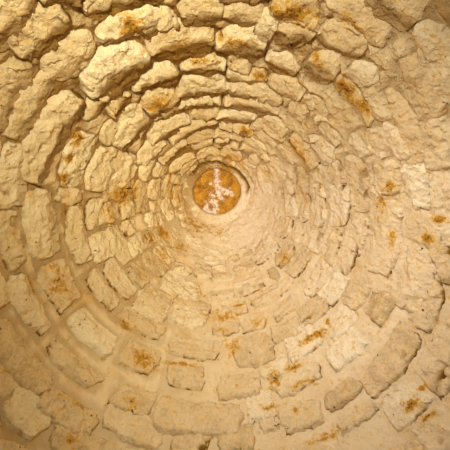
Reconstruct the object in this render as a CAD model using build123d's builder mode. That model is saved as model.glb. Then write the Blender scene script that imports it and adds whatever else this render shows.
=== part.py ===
from build123d import *
from math import acos, atan2, cos, degrees, hypot, pi, sin, sqrt
import os

# Cone roof of a trullo: a corbelled limestone vault, the rubble packed behind it,
# and the skin of roof slabs outside, with a cap stone and a pinnacle.
# Millimetres, +Z up. The origin is the middle of the springing plane,
# where the roof sits on the head of the room's wall.
# Each ring is a regular polygon, and its width is measured to the flats.

# Vault, as it is seen from the room
SPRING_RADIUS = 1750.0
CROWN_HOLE_RADIUS = 230.0
VAULT_RISE = 3600.0
VAULT_BULGE = 90.0
CORBEL_LIP = 22.0
FACE_STONE_LENGTH = 290.0
FEWEST_FACE_STONES = 12

# Courses: those at the crown are lower, and they grow downwards to full height
COURSE_COUNT = 23
CROWN_COURSE_SHARE = 0.80
GROWING_COURSES = 8
COURSE_DEPTH = 300.0
BACK_SIDES = 24

# Closing stone, laid over the hole at the crown
CLOSING_BEARING = 120.0
CLOSING_THICKNESS = 140.0

# Rubble between the vault and the skin
RUBBLE_AT_SPRINGING = 350.0
RUBBLE_AT_CROWN = 110.0

# Skin of roof slabs: bands of steps, each a tread back from the one below.
# The bands have fewer sides as they get narrower.
SKIN_THICKNESS = 180.0
SKIN_SIDES = 36
BAND_COUNT = 9
STEPS_PER_BAND = 6
STEP_SIDES = 32
EAVES_HEIGHT = 120.0
EAVES_OVERHANG = 110.0
EAVES_WEATHERING = 30.0

# Cap stone, dressed round its foot and sloped above
CAP_SEAT_RADIUS = 300.0
CAP_OVERHANG = 75.0
CAP_RIM_HEIGHT = 60.0
CAP_HEIGHT = 170.0
CAP_TOP_RADIUS = 215.0

# Pinnacle, cut from one block: a plinth, a waisted neck, a disc and a faceted ball
PINNACLE_SIDES = 16
PLINTH_RADIUS = 180.0
PLINTH_HEIGHT = 70.0
NECK_END_RADIUS = 125.0
NECK_WAIST_RADIUS = 80.0
NECK_HEIGHT = 120.0
DISC_RADIUS = 165.0
DISC_HEIGHT = 55.0
BALL_RADIUS = 130.0
BALL_SEAT_RADIUS = 80.0
BALL_FLAT_RADIUS = 40.0
BALL_BANDS = 8

# Circular arc of the vault's section, through the springing and the crown hole
RUN = SPRING_RADIUS - CROWN_HOLE_RADIUS
CHORD = hypot(RUN, VAULT_RISE)
ARC_RADIUS = (CHORD**2 / 4 + VAULT_BULGE**2) / (2 * VAULT_BULGE)
ARC_X = (SPRING_RADIUS + CROWN_HOLE_RADIUS) / 2 - (ARC_RADIUS - VAULT_BULGE) * VAULT_RISE / CHORD
ARC_Z = VAULT_RISE / 2 - (ARC_RADIUS - VAULT_BULGE) * RUN / CHORD

# The backs of the courses lie on one cone, and the rubble's outer face is another
BACK_SPRINGING = SPRING_RADIUS + COURSE_DEPTH
BACK_SLOPE = RUN / VAULT_RISE
RUBBLE_SPRINGING = BACK_SPRINGING + RUBBLE_AT_SPRINGING
RUBBLE_SLOPE = BACK_SLOPE + (RUBBLE_AT_SPRINGING - RUBBLE_AT_CROWN) / VAULT_RISE
ROOF_TOP = (RUBBLE_SPRINGING + SKIN_THICKNESS - CAP_SEAT_RADIUS) / RUBBLE_SLOPE


def vault_radius(height):
    """Radius of the room's ceiling at a height above the springing."""
    return ARC_X + sqrt(ARC_RADIUS**2 - (height - ARC_Z) ** 2)


def back_radius(height):
    """Distance from the axis to the backs of the vault's stones."""
    return BACK_SPRINGING - BACK_SLOPE * height


def rubble_radius(height):
    """Distance from the axis to the rubble's outer face."""
    return RUBBLE_SPRINGING - RUBBLE_SLOPE * height


def skin_radius(height):
    """Distance from the axis to the outer face of the roof slabs."""
    return rubble_radius(height) + SKIN_THICKNESS


def course_beds():
    """Heights of the beds, from the springing to the underside of the closing stone."""
    weights = []
    for below_crown in range(COURSE_COUNT):
        grown = min(1.0, max(0.0, (below_crown - 1) / GROWING_COURSES))
        eased = grown * grown * (3 - 2 * grown)
        weights.append(CROWN_COURSE_SHARE + (1 - CROWN_COURSE_SHARE) * eased)
    beds = [0.0]
    for weight in reversed(weights):
        beds.append(beds[-1] + VAULT_RISE * weight / sum(weights))
    return beds


def face_stones(foot, head):
    """Straight sides of a course's face, one for each stone."""
    girth = 2 * pi * vault_radius((foot + head) / 2)
    return max(FEWEST_FACE_STONES, round(girth / FACE_STONE_LENGTH))


def step_sides(height):
    """Sides of the steps at a height: an even number that falls as they get narrower."""
    return 2 * round(STEP_SIDES / 2 * sqrt(skin_radius(height) / skin_radius(0.0)))


def drum(foot, foot_radius, head, head_radius, sides, turn=0.0, mode=Mode.ADD):
    """Block with a regular outline that leans in evenly from its foot to its head."""
    with BuildSketch(Plane.XY.offset(foot), mode=Mode.PRIVATE) as outline:
        RegularPolygon(foot_radius, sides, major_radius=False, rotation=turn)
    lean = degrees(atan2(foot_radius - head_radius, head - foot))
    extrude(outline.sketch, amount=head - foot, taper=lean, mode=mode)


def write(piece, name):
    """Label a finished piece and write its file."""
    piece.part.label = name
    export_step(piece.part, f"parts/{name}.step")


os.makedirs("parts", exist_ok=True)

# Vault courses: each leans out over the one below by the corbel lip, and its face
# slopes back to its head. Upright joints break by half a stone from bed to bed.
beds = course_beds()
for index in range(COURSE_COUNT):
    foot, head = beds[index], beds[index + 1]
    stones = face_stones(foot, head)
    half_stone = 180.0 / stones
    face_foot = vault_radius(foot) - CORBEL_LIP / 2
    face_head = vault_radius(head) + CORBEL_LIP / 2
    with BuildPart() as vault_course:
        drum(foot, back_radius(foot), head, back_radius(head), BACK_SIDES)
        drum(foot, face_foot, head, face_head, stones, half_stone * (index % 2), Mode.SUBTRACT)
    write(vault_course, f"vault_course_{index + 1:02d}")

# Closing stone: a round slab
with BuildPart() as closing_stone:
    with BuildSketch(Plane.XY.offset(VAULT_RISE)):
        Circle(CROWN_HOLE_RADIUS + CLOSING_BEARING)
    extrude(amount=CLOSING_THICKNESS)
write(closing_stone, "closing_stone")

# Rubble core: fills all between the backs of the vault and the skin
with BuildPart() as rubble_core:
    drum(EAVES_HEIGHT, rubble_radius(EAVES_HEIGHT), ROOF_TOP, rubble_radius(ROOF_TOP), SKIN_SIDES)
    drum(
        EAVES_HEIGHT,
        back_radius(EAVES_HEIGHT),
        VAULT_RISE,
        back_radius(VAULT_RISE),
        BACK_SIDES,
        mode=Mode.SUBTRACT,
    )
    add(closing_stone.part, mode=Mode.SUBTRACT)
write(rubble_core, "rubble_core")

# Eaves course: flat slabs bedded round the first course, their top edge weathered
eaves_radius = skin_radius(0.0) + EAVES_OVERHANG
with BuildPart() as eaves_course:
    drum(0.0, eaves_radius, EAVES_HEIGHT, eaves_radius, SKIN_SIDES)
    chamfer(eaves_course.faces().sort_by(Axis.Z)[-1].edges(), EAVES_WEATHERING)
    drum(
        0.0,
        back_radius(0.0),
        EAVES_HEIGHT,
        back_radius(EAVES_HEIGHT),
        BACK_SIDES,
        mode=Mode.SUBTRACT,
    )
write(eaves_course, "eaves_course")

# Roof bands: rings of roof slabs. Each step's upright face stands where the slope of
# the skin meets its foot, and the rubble's face is behind.
band_height = (ROOF_TOP - EAVES_HEIGHT) / BAND_COUNT
step_height = band_height / STEPS_PER_BAND
for index in range(BAND_COUNT):
    foot = EAVES_HEIGHT + band_height * index
    head = foot + band_height
    sides = step_sides(foot)
    with BuildPart() as roof_band:
        for step in range(STEPS_PER_BAND):
            step_foot = foot + step_height * step
            step_radius = skin_radius(step_foot)
            drum(step_foot, step_radius, step_foot + step_height, step_radius, sides)
        drum(foot, rubble_radius(foot), head, rubble_radius(head), SKIN_SIDES, mode=Mode.SUBTRACT)
    write(roof_band, f"roof_band_{index + 1:02d}")

# Cap stone: closes the skin and the rubble, and throws the rain clear
cap_radius = CAP_SEAT_RADIUS + CAP_OVERHANG
rim_top = ROOF_TOP + CAP_RIM_HEIGHT
cap_top = ROOF_TOP + CAP_HEIGHT
with BuildPart() as cap_stone:
    drum(ROOF_TOP, cap_radius, rim_top, cap_radius, SKIN_SIDES)
    drum(rim_top, cap_radius, cap_top, CAP_TOP_RADIUS, SKIN_SIDES)
write(cap_stone, "cap_stone")

# Pinnacle: the ball's facets follow its circle, from its seat to a small flat on top
neck_foot = cap_top + PLINTH_HEIGHT
neck_waist = neck_foot + NECK_HEIGHT / 2
disc_foot = neck_foot + NECK_HEIGHT
ball_foot = disc_foot + DISC_HEIGHT
seat_angle = -acos(BALL_SEAT_RADIUS / BALL_RADIUS)
top_angle = acos(BALL_FLAT_RADIUS / BALL_RADIUS)
ball_centre = ball_foot - BALL_RADIUS * sin(seat_angle)
with BuildPart() as pinnacle:
    drum(cap_top, PLINTH_RADIUS, neck_foot, PLINTH_RADIUS, PINNACLE_SIDES)
    drum(neck_foot, NECK_END_RADIUS, neck_waist, NECK_WAIST_RADIUS, PINNACLE_SIDES)
    drum(neck_waist, NECK_WAIST_RADIUS, disc_foot, NECK_END_RADIUS, PINNACLE_SIDES)
    drum(disc_foot, DISC_RADIUS, ball_foot, DISC_RADIUS, PINNACLE_SIDES)
    for band in range(BALL_BANDS):
        low = seat_angle + (top_angle - seat_angle) * band / BALL_BANDS
        high = seat_angle + (top_angle - seat_angle) * (band + 1) / BALL_BANDS
        drum(
            ball_centre + BALL_RADIUS * sin(low),
            BALL_RADIUS * cos(low),
            ball_centre + BALL_RADIUS * sin(high),
            BALL_RADIUS * cos(high),
            PINNACLE_SIDES,
        )
write(pinnacle, "pinnacle")
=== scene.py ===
import itertools
import math
import random
from collections import namedtuple
from types import SimpleNamespace

import bmesh
import bpy
import numpy as np
from bpy.props import FloatProperty, FloatVectorProperty, PointerProperty
from mathutils import Matrix, Vector


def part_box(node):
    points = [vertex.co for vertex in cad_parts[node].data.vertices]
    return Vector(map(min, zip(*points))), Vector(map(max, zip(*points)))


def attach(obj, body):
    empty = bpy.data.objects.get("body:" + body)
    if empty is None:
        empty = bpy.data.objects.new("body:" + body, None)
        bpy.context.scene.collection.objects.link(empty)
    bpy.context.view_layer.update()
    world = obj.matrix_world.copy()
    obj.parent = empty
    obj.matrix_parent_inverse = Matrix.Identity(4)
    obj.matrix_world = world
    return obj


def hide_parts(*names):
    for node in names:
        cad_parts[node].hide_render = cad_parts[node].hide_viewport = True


bl_info = {
    "name": "Trullo Cone Roof",
    "version": (1, 0, 0),
    "blender": (4, 5, 0),
    "location": "View3D > Sidebar > Trullo",
    "description": "Dresses a corbelled limestone vault and its roof of slabs",
    "category": "Add Mesh",
}

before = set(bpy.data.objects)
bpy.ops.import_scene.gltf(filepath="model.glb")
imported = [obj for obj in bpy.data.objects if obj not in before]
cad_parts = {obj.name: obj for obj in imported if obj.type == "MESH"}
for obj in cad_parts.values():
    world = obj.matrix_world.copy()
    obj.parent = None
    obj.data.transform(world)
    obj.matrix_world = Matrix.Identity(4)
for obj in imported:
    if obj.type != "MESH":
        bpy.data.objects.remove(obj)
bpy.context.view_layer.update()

# Metres throughout. A bearing is measured clockwise as seen by someone who lies on the
# floor and looks up, from the +Y side of the vault: noted ones in degrees, others in radians.

COURSE_NODES = sorted(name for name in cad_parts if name.startswith("vault_course_"))
BAND_NODES = sorted(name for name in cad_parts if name.startswith("roof_band_"))
BEDS = [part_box(COURSE_NODES[0])[0].z] + [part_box(name)[1].z for name in COURSE_NODES]

# The vault's section, as in the frame
SPRING_RADIUS = 1.75
CROWN_HOLE_RADIUS = 0.23
VAULT_RISE = BEDS[-1]
VAULT_BULGE = 0.09
BACK_SPRINGING = 2.05
BACK_CROWN = 0.53

# The roof's skin, as in the frame: its slope, the steps of a band, and the sides of the
# eaves and the cap, whose boxes reach to their corners
SKIN_SPRINGING = 2.58
SKIN_SLOPE = 0.488889
SKIN_THICKNESS = 0.18
STEPS_PER_BAND = 6
TO_FLATS = math.cos(math.pi / 36)

# The cap and the pinnacle, as in the frame. Heights are above the pinnacle's seat.
CAP_RIM_HEIGHT = 0.06
CAP_TOP_RADIUS = 0.215
PLINTH_RADIUS = 0.18
PLINTH_TOP = 0.07
NECK_RADIUS = 0.0995
NECK_SWELL = 0.0255
NECK_TOP = 0.19
DISC_RADIUS = 0.165
DISC_TOP = 0.245
BALL_RADIUS = 0.13
BALL_FLAT_RADIUS = 0.04

RUN = SPRING_RADIUS - CROWN_HOLE_RADIUS
CHORD = math.hypot(RUN, VAULT_RISE)
ARC_RADIUS = (CHORD**2 / 4 + VAULT_BULGE**2) / (2 * VAULT_BULGE)
ARC_X = (SPRING_RADIUS + CROWN_HOLE_RADIUS) / 2 - (ARC_RADIUS - VAULT_BULGE) * VAULT_RISE / CHORD
ARC_Z = VAULT_RISE / 2 - (ARC_RADIUS - VAULT_BULGE) * RUN / CHORD

# The eye that the reference view is taken with, low in the room and off its middle
EYE = Vector((-0.03, 0.44, 0.25))
EYE_FOCAL_PIXELS = 379.0
PICTURE_PIXELS = 450.0
CROWN_PIXEL = (217.0, 191.5)
SENSOR_WIDTH = 36.0
AIM_ROUNDS = 60

# The view takes in what is above the first height, and the mortar is finest above the
# second. The mortar's grid is the cells round it, and its rows in view and near the
# crown.
FIRST_SEEN = 1.6
NEAR_CROWN = 3.38
UNSEEN_COARSER = 5
UNSEEN_ROWS = 24
MORTAR_GRID = ((400, 100, 44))

# Cells across and up the front of the other blocks, and the facets of the round stones
CLOSING_CELLS = (100, 100)
SLAB_CELLS = (4, 3)
TURNED_STEPS = 96
TURNED_CELL = 0.012

# How far the vault's blocks reach in behind its face, how far the mortar's back stands
# clear of the rubble, and the narrowest gap between noted stones that is filled
STONE_DEPTH = 0.11
MORTAR_CLEARANCE = 0.02
NARROWEST_FILL = 0.11

# The bed between the two layers of eaves slabs, the joint on each side of a slab, and
# how deep the weather has worn the round stones
EAVES_BED = 0.062
SLAB_JOINT = 0.003
TURNED_WEAR = 0.004

# Where each piece's random draws start
COURSE_SEED = 700
EAVES_SEED = 880
BAND_SEED = 900

# How far the bedding of the stones stands from the vault's face by bearing, and how far
# the pointing is raked out behind it: deep joints on the +Y side, nearly flush opposite
NOTED_BEARINGS = (-180, -135, -90, -45, 0, 45, 80, 135, 180)
BEDDING_FACES = (-0.004, -0.004, -0.008, -0.019, -0.026, -0.013, -0.005, -0.002, -0.004)
RAKED_DEPTHS = (0.001, 0.001, 0.002, 0.010, 0.019, 0.003, 0.001, 0.0, 0.001)

# How far wide fields of plaster swell towards the stones' faces by bearing
FIELD_SWELLS = (0.003, 0.003, 0.008, 0.010, 0.012, 0.021, 0.013, 0.003, 0.003)

# How golden the vault's colour is by bearing, and how strongly shade is painted into its hollows
GOLDEN_BY_BEARING = (0.45, 0.85, 1.0, 0.95, 0.9, 0.55, 0.15, 0.1, 0.45)
HOLLOW_SHADE_BY_BEARING = (0.1, 0.4, 0.7, 1.0, 1.0, 0.55, 0.2, 0.1, 0.1)

# How craggy the packing between the stones is by bearing: 0 is smoothed by hand
CRAGGY_PACKING = (0.1, 0.1, 0.3, 0.8, 1.0, 1.0, 0.8, 0.2, 0.1)

# A noted stone. Its ends are bearings in degrees, its lower and upper edges are
# heights in millimetres. It stands proud of the pointing up to its ridge, which lies at
# a share of its height, and leans back above it, both in millimetres. Its tone goes from
# 0, grey-brown, to 1, near white. Tilt lifts its end above its start, in millimetres.
Stone = namedtuple(
    "Stone",
    "start end low high proud lean tone ridge tilt",
    defaults=(12, 16, 0.5, 0.68, 0),
)

NOTED_STONES = (
    # +Y side, from the lowest seen to the crown
    (-45, -31.5, 1760, 1915, 18, 20, 0.35),
    (-29, -8, 1830, 1975, 16, 24, 0.4),
    (25, 40, 1800, 1910, 12, 14, 0.45, 0.8),
    (-45.5, -31, 1935, 2092, 16, 12, 0.5, 0.9),
    (-30, -12.5, 1985, 2085, 20, 16, 0.7, 0.8),
    (-19, -9, 2040, 2145, 20, 26, 0.5, 0.55),
    (-8, 2.5, 1985, 2110, 24, 18, 0.3, 0.6),
    (2, 12.5, 1995, 2148, 20, 34, 0.35, 0.55),
    (11.5, 17, 2030, 2150, 22, 14, 0.75, 0.7),
    (13.5, 24.5, 1900, 2025, 20, 12, 0.3, 0.8),
    (16.5, 26.5, 2010, 2205, 30, 34, 0.4, 0.6, -70),
    (26.5, 38.5, 1915, 2070, 20, 22, 0.4, 0.75, -30),
    (38.5, 46, 1985, 2100, 18, 10, 0.8, 0.8),
    (-43.5, -20.5, 2098, 2335, 44, 40, 0.8, 0.66),
    (-20.5, -0.2, 2135, 2335, 34, 40, 0.4, 0.5),
    (0.4, 16.2, 2165, 2385, 40, 62, 0.75, 0.42, -60),
    (16.5, 29, 2232, 2350, 22, 20, 0.65, 0.6, -20),
    (28.5, 38, 2100, 2275, 34, 42, 0.5, 0.42, -30),
    (38, 56, 2125, 2215, 14, 16, 0.3, 0.7),
    (-45.5, -33.5, 2362, 2468, 26, 28, 0.45, 0.4),
    (-32, -13, 2345, 2485, 34, 34, 0.6, 0.5),
    (-12, 4.6, 2338, 2470, 30, 30, 0.65, 0.5),
    (4.8, 13.5, 2395, 2540, 22, 26, 0.75, 0.7),
    (13, 20.5, 2390, 2530, 24, 18, 0.55, 0.6, -20),
    (20.5, 36, 2355, 2480, 20, 16, 0.5, 0.85, -10),
    (36, 46, 2345, 2440, 12, 10, 0.5),
    (-45.5, -35, 2485, 2665, 16, 10, 0.8, 0.8),
    (-35, -17.6, 2495, 2715, 40, 38, 0.5, 0.74),
    (-17.5, 5.4, 2482, 2672, 34, 32, 0.75, 0.72),
    (5, 31.5, 2500, 2665, 30, 28, 0.7, 0.7, -30),
    (33.5, 43, 2465, 2605, 12, 12, 0.5),
    (-15.5, 3, 2660, 2782, 36, 40, 0.7, 0.5),
    (3.4, 34, 2640, 2812, 40, 42, 0.55, 0.6, -90),
    (28, 44, 2690, 2832, 16, 14, 0.7, 0.9, 20),
    (-46, -16.5, 2765, 2935, 34, 30, 0.65, 0.72, 30),
    (-15.5, 3.0, 2785, 2945, 26, 24, 0.5, 0.7),
    (0.5, 24, 2825, 2985, 34, 40, 0.95, 0.5, -90),
    (24, 32, 2830, 2950, 14, 12, 0.6, 0.8, -40),
    (-38, 3, 2950, 3130, 36, 50, 0.55, 0.42, -90),
    (13, 27.5, 2950, 3070, 26, 30, 0.5, 0.7),
    (27.5, 46, 2875, 3020, 14, 14, 0.6, 0.8),
    (-56, -27, 3040, 3195, 26, 34, 0.55, 0.75),
    (-27, -3, 3150, 3325, 18, 18, 0.55, 0.85, -30),
    (-2, 14, 3150, 3300, 22, 22, 0.9, 0.8, -30),
    (14, 25, 3075, 3205, 16, 18, 0.7, 0.8, -40),
    (25.5, 38, 3170, 3285, 24, 34, 0.5, 0.45, -20),
    (25, 46, 3035, 3170, 14, 12, 0.65, 0.8, -20),
    (-65, -28, 3330, 3480, 16, 16, 0.5, 0.85),
    (-27, 5, 3335, 3500, 16, 14, 0.5, 0.85),
    (5, 36, 3300, 3530, 18, 18, 0.5, 0.85),
    (36, 62, 3300, 3530, 12, 10, 0.65, 0.9),
    # -X side
    (45, 60, 1785, 1905, 14, 8, 0.3),
    (48.5, 70.5, 1945, 2035, 12, 8, 0.4, 0.85),
    (56.5, 69, 2040, 2125, 9, 8, 0.6),
    (70.5, 83.5, 1985, 2095, 14, 10, 0.8, 0.8),
    (83.5, 93, 1900, 2085, 12, 10, 0.45),
    (93, 112, 1895, 2072, 16, 14, 0.5, 0.8),
    (109.5, 121.5, 2028, 2160, 18, 10, 0.05, 0.6),
    (56.5, 66, 2240, 2352, 14, 12, 0.75, 0.8, -20),
    (57, 68, 2125, 2232, 10, 8, 0.55),
    (68.5, 79.5, 2115, 2275, 14, 10, 0.45),
    (81, 107, 2115, 2292, 14, 8, 0.5, 0.85),
    (108, 122.5, 2165, 2345, 16, 8, 0.25, 0.9),
    (45, 59.5, 2400, 2505, 14, 12, 0.6, 0.85, -30),
    (64, 88, 2310, 2445, 7, 4, 0.4, 0.9),
    (88, 104, 2315, 2445, 6, 4, 0.5, 0.9),
    (104, 114.5, 2338, 2475, 12, 6, 0.5, 0.9),
    (51, 67.5, 2515, 2625, 13, 14, 0.65, 0.85, -30),
    (66, 76, 2455, 2590, 6, 5, 0.5),
    (76, 97, 2450, 2625, 7, 4, 0.75, 0.9),
    (113.5, 131, 2450, 2645, 8, 4, 0.55, 0.9),
    (45, 68.5, 2665, 2812, 24, 28, 0.3, 0.7, -20),
    (76, 100, 2640, 2745, 6, 3, 0.65, 0.9),
    (101, 113.5, 2590, 2800, 9, 4, 0.6, 0.9),
    (46, 63, 2870, 2975, 12, 16, 0.6, 0.85, -60),
    (83.5, 100, 2865, 2995, 8, 4, 0.75, 0.9),
    (52, 72, 3000, 3115, 9, 10, 0.6, 0.85),
    (45, 55, 3085, 3200, 16, 22, 0.5, 0.5, -30),
    (52, 72, 3160, 3255, 9, 8, 0.75, 0.85),
    # -Y side
    (136, 147.5, 1765, 1840, 7, 5, 0.4),
    (135, 147.5, 1885, 1978, 9, 6, 0.15),
    (148, 161.5, 1868, 2005, 9, 5, 0.4),
    (162.5, 168.8, 1898, 2010, 9, 5, 0.5),
    (171, 198.5, 1905, 2092, 15, 8, 0.35, 0.7),
    (199.5, 212, 1940, 2082, 10, 6, 0.3),
    (124.5, 140.5, 2018, 2182, 11, 6, 0.95),
    (143.5, 161, 2030, 2190, 10, 8, 0.55),
    (163.5, 180, 2068, 2245, 10, 5, 0.35),
    (183, 199, 2118, 2285, 10, 6, 0.35),
    (202, 217, 2148, 2312, 10, 8, 0.4),
    (136, 152, 2192, 2385, 12, 6, 0.8),
    (155, 172, 2248, 2445, 9, 5, 0.3),
    (177.5, 200, 2298, 2465, 8, 5, 0.4),
    (203, 226, 2345, 2490, 8, 5, 0.35),
    (135, 152, 2478, 2592, 8, 6, 0.35),
    (156, 168, 2465, 2610, 6, 4, 0.5),
    (166.5, 182.5, 2465, 2600, 6, 5, 0.4),
    (184, 205.5, 2498, 2695, 11, 5, 0.65, 0.9),
    (206, 223, 2545, 2712, 9, 6, 0.35),
    (134, 161, 2600, 2725, 9, 6, 0.4),
    (162.5, 183, 2608, 2715, 6, 4, 0.5),
    (190, 216.5, 2710, 2892, 8, 4, 0.7, 0.9),
    (134.5, 143, 2748, 2865, 9, 6, 0.1),
    (147, 167.5, 2745, 2880, 6, 4, 0.5),
    (168, 186, 2750, 2835, 7, 5, 0.45),
    (165, 183, 2895, 3000, 6, 4, 0.4),
    (198.5, 215, 2895, 2992, 9, 5, 0.6),
    (172, 191, 3000, 3210, 11, 8, 0.95, 0.9, 30),
    (163.5, 178.5, 3222, 3345, 6, 3, 0.9),
    # +X side
    (212, 228, 1765, 1905, 10, 6, 0.3),
    (228, 251, 1780, 1915, 12, 8, 0.3, 0.7),
    (217, 236, 1955, 2060, 9, 6, 0.35),
    (238.5, 258.5, 1955, 2082, 16, 8, 0.6),
    (259.5, 277, 1985, 2092, 13, 6, 0.35),
    (219.5, 238.5, 2108, 2275, 14, 6, 0.85, 0.6),
    (240.5, 257.5, 2130, 2312, 9, 5, 0.45, 0.9),
    (259.3, 283, 2125, 2312, 18, 14, 0.65, 0.8, -20),
    (283.8, 315, 2055, 2242, 34, 26, 0.6, 0.85, 20),
    (296, 316, 1950, 2058, 20, 16, 0.5, 0.7),
    (227.3, 247, 2335, 2465, 13, 6, 0.6, 0.85),
    (250.7, 275.5, 2345, 2482, 18, 8, 0.6, 0.85),
    (275.5, 282.7, 2315, 2485, 13, 8, 0.4),
    (283, 304.5, 2305, 2465, 12, 8, 0.95, 0.9),
    (308.5, 326, 2268, 2345, 22, 18, 0.6, 0.7),
    (246.7, 262.5, 2480, 2702, 19, 8, 0.75, 0.85),
    (263, 277, 2498, 2640, 9, 5, 0.65),
    (263, 275, 2640, 2735, 7, 4, 0.4),
    (280, 302.5, 2498, 2695, 22, 14, 0.65, 0.85),
    (303, 325, 2545, 2715, 30, 24, 0.75, 0.8),
    (237.5, 250, 2735, 2905, 19, 6, 0.65, 0.9),
    (250, 262, 2750, 2885, 8, 4, 0.55),
    (273.8, 282, 2722, 2885, 12, 8, 0.1),
    (282, 302.5, 2695, 2880, 15, 8, 0.7, 0.85),
    (297.5, 321, 2845, 2992, 22, 24, 0.6, 0.8, 20),
    (248, 262, 2995, 3085, 9, 5, 0.85),
    (270, 290, 3045, 3165, 14, 10, 0.5, 0.85, 30),
    (295, 332, 3225, 3335, 22, 20, 0.5, 0.8, 60),
    (285, 296, 3290, 3430, 14, 12, 0.5, 0.85, 20),
)
NOTED_STONES = tuple(Stone(*row) for row in NOTED_STONES)


def chosen():
    """The user's settings for the scene."""
    return bpy.context.scene.trullo


def srgb(red, green, blue):
    """Scene colour for a colour given as 0 to 255."""
    steps = (channel / 255 for channel in (red, green, blue))
    return tuple(s / 12.92 if s <= 0.04045 else ((s + 0.055) / 1.055) ** 2.4 for s in steps)


# Vault geometry


def vault_radius(height):
    """Radius of the vault's face at a height, or at an array of heights."""
    return ARC_X + np.sqrt(ARC_RADIUS**2 - (height - ARC_Z) ** 2)


def around(bearing, radius, height):
    """Points at a bearing and a radius from the vault's axis."""
    return np.stack([-np.sin(bearing) * radius, np.cos(bearing) * radius, height], axis=-1)


def on_vault(bearing, height, proud=0.0):
    """Points that stand proud of the vault's face."""
    return around(bearing, vault_radius(height) - proud, height)


def bearing_of(points):
    """The bearings of points."""
    return np.arctan2(-points[:, 0], points[:, 1])


def turned_from(bearing, middle):
    """How far a bearing is turned from another, the short way round."""
    return (bearing - middle + math.pi) % (2 * math.pi) - math.pi


def corner_numbers(x, y, z, seed):
    """Repeatable numbers from -1 to 1 at the corners of a cubic grid."""
    mixed = (x * 73856093) ^ (y * 19349663) ^ (z * 83492791) ^ (seed * 15485863)
    mixed = ((mixed ^ (mixed >> 13)) * 1274126177) & 0xFFFFFFFF
    return ((mixed ^ (mixed >> 16)) & 0xFFFF) / 32767.5 - 1


def lumps(points, size, seed):
    """Smooth noise from -1 to 1, with lumps of about a size in metres."""
    scaled = points / size
    cell = np.floor(scaled).astype(np.int64)
    part = scaled - cell
    part = part * part * (3 - 2 * part)
    total = np.zeros(len(points))
    for corner in itertools.product((0, 1), repeat=3):
        weight = np.ones(len(points))
        for axis in range(3):
            weight *= part[:, axis] if corner[axis] else 1 - part[:, axis]
        total += weight * corner_numbers(*(cell + corner).T, seed)
    return total


def grain(points, size, octaves, seed):
    """Noise with finer and fainter lumps laid over the coarse ones."""
    return sum(lumps(points, size / 2**k, seed + k) * 0.55**k for k in range(octaves))


def flakes(points, size, seed):
    """Noise from about -1 to 1 in flat facets, as a hammer leaves them."""
    scaled = points / size
    cell = np.floor(scaled).astype(np.int64)
    nearest = np.full(len(points), 9.0)
    total = np.zeros(len(points))
    for offset in itertools.product((-1, 0, 1), repeat=3):
        home = cell + offset
        shift = np.stack([corner_numbers(*home.T, seed + k) for k in range(3)], axis=-1)
        apart = scaled - home - 0.5 - 0.42 * shift
        distance = np.sum(apart * apart, axis=1)
        slope = np.stack([corner_numbers(*home.T, seed + k) for k in range(3, 6)], axis=-1)
        facet = 0.4 * corner_numbers(*home.T, seed + 6) + 1.1 * np.sum(apart * slope, axis=1)
        total = np.where(distance < nearest, facet, total)
        nearest = np.minimum(distance, nearest)
    return total


def smooth_step(low, high, value):
    """0 below low, 1 above high, and an eased rise between them."""
    part = np.clip((value - low) / (high - low), 0, 1)
    return part * part * (3 - 2 * part)


def bump_at(value, middle, reach):
    """1 where a value is at the middle, falling off to 0 over a few times the reach."""
    return np.exp(-(((value - middle) / reach) ** 2))


def by_bearing(bearing, values):
    """Values given at the noted bearings, between them too."""
    turned = (np.degrees(bearing) + 180) % 360 - 180
    return np.interp(turned, NOTED_BEARINGS, values)


def end_pinch(bearing):
    """Share of its height that a stone loses towards its ends: most on the +Y side."""
    return 0.5 * (0.5 + 0.5 * np.cos(bearing)) ** 2


def crown_groove(bearing, height):
    """Where wavy grooves run round the hole's lip, on the +Y side: 1 in their middle."""
    wave = lumps(on_vault(bearing, 3.5 + 0 * height), 0.10, 17)
    inner = bump_at(height - 3.510, 0.006 * wave, 0.009)
    outer = bump_at(height - 3.448, 0.022 * wave, 0.010)
    along = smooth_step(0.0, 0.5, np.cos(bearing - 0.25))
    return along * np.maximum(inner, 0.8 * outer)


def with_lip(face, bearing, height):
    """A face that turns in near the crown, to the lip of the hole."""
    spot = on_vault(bearing, height)
    side = np.cos(bearing)
    lip = CROWN_HOLE_RADIUS - 0.020 + 0.012 * lumps(spot, 0.12, 9) + 0.004 * lumps(spot, 0.04, 10)
    hang = 3.540 - 0.020 * side + 0.012 * lumps(spot, 0.10, 13)
    turned_in = smooth_step(-0.05, 0.012, height - hang)
    face = face + (vault_radius(height) - lip - face) * turned_in
    return face - 0.022 * crown_groove(bearing, height)


def smoothed_over(bearing, height):
    """Where plaster hides the stones: at the lip, and lower down except on the +Y side."""
    side = smooth_step(-0.45, 0.25, -np.cos(bearing) + 0.3 * np.sin(bearing))
    return np.maximum(side * smooth_step(2.95, 3.30, height), smooth_step(3.46, 3.53, height))


def pointing_bed(bearing, height, raked):
    """How far the pointing stands proud before it turns in to the lip."""
    face = by_bearing(bearing, BEDDING_FACES) - raked * by_bearing(bearing, RAKED_DEPTHS)
    face = face + 0.008 * smooth_step(3.0, 3.5, height)
    spot = on_vault(bearing, height)
    face = face + 0.005 * lumps(spot, 0.17, 3) + 0.004 * grain(spot, 0.05, 3, 5)
    face = face + 0.004 * flakes(spot, 0.07, 7)
    return face + 0.007 * grain(spot, 0.08, 3, 15) * smooth_step(3.15, 3.35, height)


# Mesh helpers


def placed(name, data):
    """An object in the scene for a mesh, a light or a camera."""
    item = bpy.data.objects.new(name, data)
    bpy.context.scene.collection.objects.link(item)
    return item


def mesh_from(name, bm):
    """A mesh with the shape of a bmesh, which is freed."""
    mesh = bpy.data.meshes.new(name)
    bm.to_mesh(mesh)
    bm.free()
    return mesh


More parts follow.
